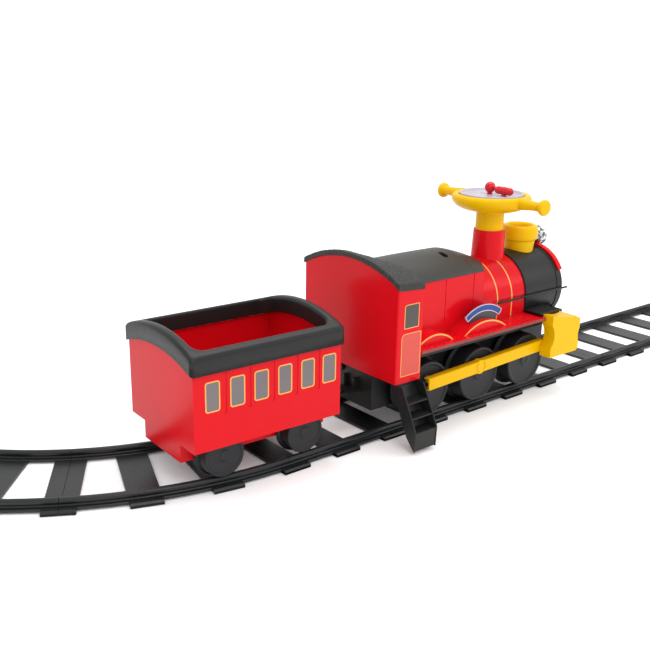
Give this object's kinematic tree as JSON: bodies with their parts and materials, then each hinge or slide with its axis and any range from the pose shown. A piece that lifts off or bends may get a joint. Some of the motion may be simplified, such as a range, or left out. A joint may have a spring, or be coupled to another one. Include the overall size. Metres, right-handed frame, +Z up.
{
  "type": "ride-on train set",
  "caption": "Seat-and-steer toy locomotive with a hinged seat lid over storage, pulling an open wagon along sectional curved and straight plastic track.",
  "frame": {"origin": "underside of one sleeper of the straight track, on the track centre line, at floor level", "axes": "+X the way the train travels, +Y to the train's left, +Z up"},
  "size_m": [2.5854, 0.649, 0.4943],
  "materials": {
    "track_plastic": "satin",
    "black_plastic": "satin",
    "seat_plastic": "satin",
    "red_plastic": "gloss",
    "yellow_plastic": "gloss",
    "wheel_plastic": "satin",
    "board_plastic": "satin",
    "plate_plastic": "gloss",
    "face_plastic": "gloss",
    "lamp_chrome": "polished",
    "lamp_lens": "clear",
    "battery_case": "matte",
    "gear_plastic": "satin",
    "brass_metal": "machined",
    "steel": "brushed"
  },
  "bodies": {
    "track": {"curved_track_1": "track_plastic", "curved_track_2": "track_plastic", "straight_track_1": "track_plastic", "straight_track_2": "track_plastic", "straight_track_3": "track_plastic", "straight_track_half": "track_plastic"},
    "engine": {"engine_chassis": "black_plastic", "cab_body": "red_plastic", "cab_roof": "black_plastic", "boiler_shell": "red_plastic", "smokebox": "black_plastic", "smokebox_door": "black_plastic", "front_visor": "red_plastic", "funnel": "yellow_plastic", "headlamp_housing": "lamp_chrome", "headlamp_lens": "lamp_lens", "column_shroud": "red_plastic", "running_boards": "board_plastic", "cylinder_left": "yellow_plastic", "cylinder_right": "yellow_plastic", "steps_left": "black_plastic", "steps_right": "black_plastic", "nameplates": "plate_plastic", "handrails": "black_plastic", "battery": "battery_case", "gearbox": "gear_plastic", "motor": "steel", "sound_unit": "battery_case", "charging_socket": "black_plastic", "hitch_pin": "steel", "body_fasteners": "steel", "seat_nose": "seat_plastic"},
    "seat": {"seat_lid": "seat_plastic"},
    "steering": {"steering_post": "yellow_plastic", "steering_wheel": "yellow_plastic", "face_plate": "face_plastic"},
    "ball_button": {"ball_button": "red_plastic"},
    "bar_button": {"bar_button": "red_plastic"},
    "axle_set_rear": {"axle_rear": "steel", "wheel_rear_left": "wheel_plastic", "wheel_rear_right": "wheel_plastic"},
    "axle_set_middle": {"axle_middle": "steel", "drive_gear": "gear_plastic", "wheel_middle_left": "wheel_plastic", "wheel_middle_right": "wheel_plastic"},
    "axle_set_front": {"axle_front": "steel", "wheel_front_left": "wheel_plastic", "wheel_front_right": "wheel_plastic"},
    "rod_left": {"side_rod_left": "yellow_plastic"},
    "rod_right": {"side_rod_right": "yellow_plastic"},
    "pinion": {"motor_pinion": "brass_metal"},
    "wagon": {"wagon_body": "red_plastic", "wagon_rim": "black_plastic", "wagon_drawbar": "black_plastic"},
    "wagon_set_front": {"wagon_axle_front": "steel", "wagon_wheel_front_left": "wheel_plastic", "wagon_wheel_front_right": "wheel_plastic"},
    "wagon_set_rear": {"wagon_axle_rear": "steel", "wagon_wheel_rear_left": "wheel_plastic", "wagon_wheel_rear_right": "wheel_plastic"}
  },
  "joints": [
    {"name": "train_roll", "type": "slide", "parent": "track", "child": "engine", "axis": [1, 0, 0], "range_m": [0, 0.3]},
    {"name": "seat_hinge", "type": "hinge", "parent": "engine", "child": "seat", "pos_m": [-0.342, 0, 0.354], "axis": [0, -1, 0], "range_deg": [0, 70]},
    {"name": "steering_turn", "type": "hinge", "parent": "engine", "child": "steering", "pos_m": [0.012, 0, 0.4], "axis": [0, 0, 1], "range_deg": [-30, 30]},
    {"name": "ball_press", "type": "slide", "parent": "steering", "child": "ball_button", "axis": [0, 0, -1], "range_m": [0, 0.003], "stiffness_N_per_m": 400, "springref_m": -0.002},
    {"name": "bar_press", "type": "slide", "parent": "steering", "child": "bar_button", "axis": [0, 0, -1], "range_m": [0, 0.003], "stiffness_N_per_m": 400, "springref_m": -0.002},
    {"name": "rear_axle_roll", "type": "hinge", "parent": "engine", "child": "axle_set_rear", "pos_m": [-0.294, 0, 0.0873], "axis": [0, 1, 0], "range_deg": [-2, 274.8]},
    {"name": "middle_axle_roll", "type": "hinge", "parent": "engine", "child": "axle_set_middle", "pos_m": [-0.13, 0, 0.0873], "axis": [0, 1, 0], "range_deg": [-2, 274.8]},
    {"name": "front_axle_roll", "type": "hinge", "parent": "engine", "child": "axle_set_front", "pos_m": [0.034, 0, 0.0873], "axis": [0, 1, 0], "range_deg": [-2, 274.8]},
    {"name": "rod_left_pivot", "type": "hinge", "parent": "axle_set_middle", "child": "rod_left", "pos_m": [-0.134, 0.131, 0.1113], "axis": [0, 1, 0], "range_deg": [-274.8, 2]},
    {"name": "rod_right_pivot", "type": "hinge", "parent": "axle_set_middle", "child": "rod_right", "pos_m": [-0.134, -0.131, 0.1113], "axis": [0, 1, 0], "range_deg": [-274.8, 2]},
    {"name": "pinion_spin", "type": "hinge", "parent": "engine", "child": "pinion", "pos_m": [-0.1024, 0, 0.1104], "axis": [0, 1, 0], "range_deg": [-956.9, 2]},
    {"name": "wagon_hitch", "type": "hinge", "parent": "engine", "child": "wagon", "pos_m": [-0.452, 0, 0.087], "axis": [0, 0, 1], "range_deg": [-0.6, 0.8]},
    {"name": "wagon_front_roll", "type": "hinge", "parent": "wagon", "child": "wagon_set_front", "pos_m": [-0.61494, 0.00455, 0.0663], "axis": [0.0279, 0.9996, 0], "range_deg": [-2, 411.3]},
    {"name": "wagon_rear_roll", "type": "hinge", "parent": "wagon", "child": "wagon_set_rear", "pos_m": [-0.79887, 0.00969, 0.0663], "axis": [0.0279, 0.9996, 0], "range_deg": [-2, 411.3]}
  ],
  "couplings": [
    {"joint": "rear_axle_roll", "follows": "train_roll", "rad_per_m": 15.873},
    {"joint": "middle_axle_roll", "follows": "train_roll", "rad_per_m": 15.873},
    {"joint": "front_axle_roll", "follows": "train_roll", "rad_per_m": 15.873},
    {"joint": "rod_left_pivot", "follows": "train_roll", "rad_per_m": -15.873},
    {"joint": "rod_right_pivot", "follows": "train_roll", "rad_per_m": -15.873},
    {"joint": "pinion_spin", "follows": "train_roll", "rad_per_m": -55.556},
    {"joint": "wagon_front_roll", "follows": "train_roll", "rad_per_m": 23.81},
    {"joint": "wagon_rear_roll", "follows": "train_roll", "rad_per_m": 23.81}
  ]
}
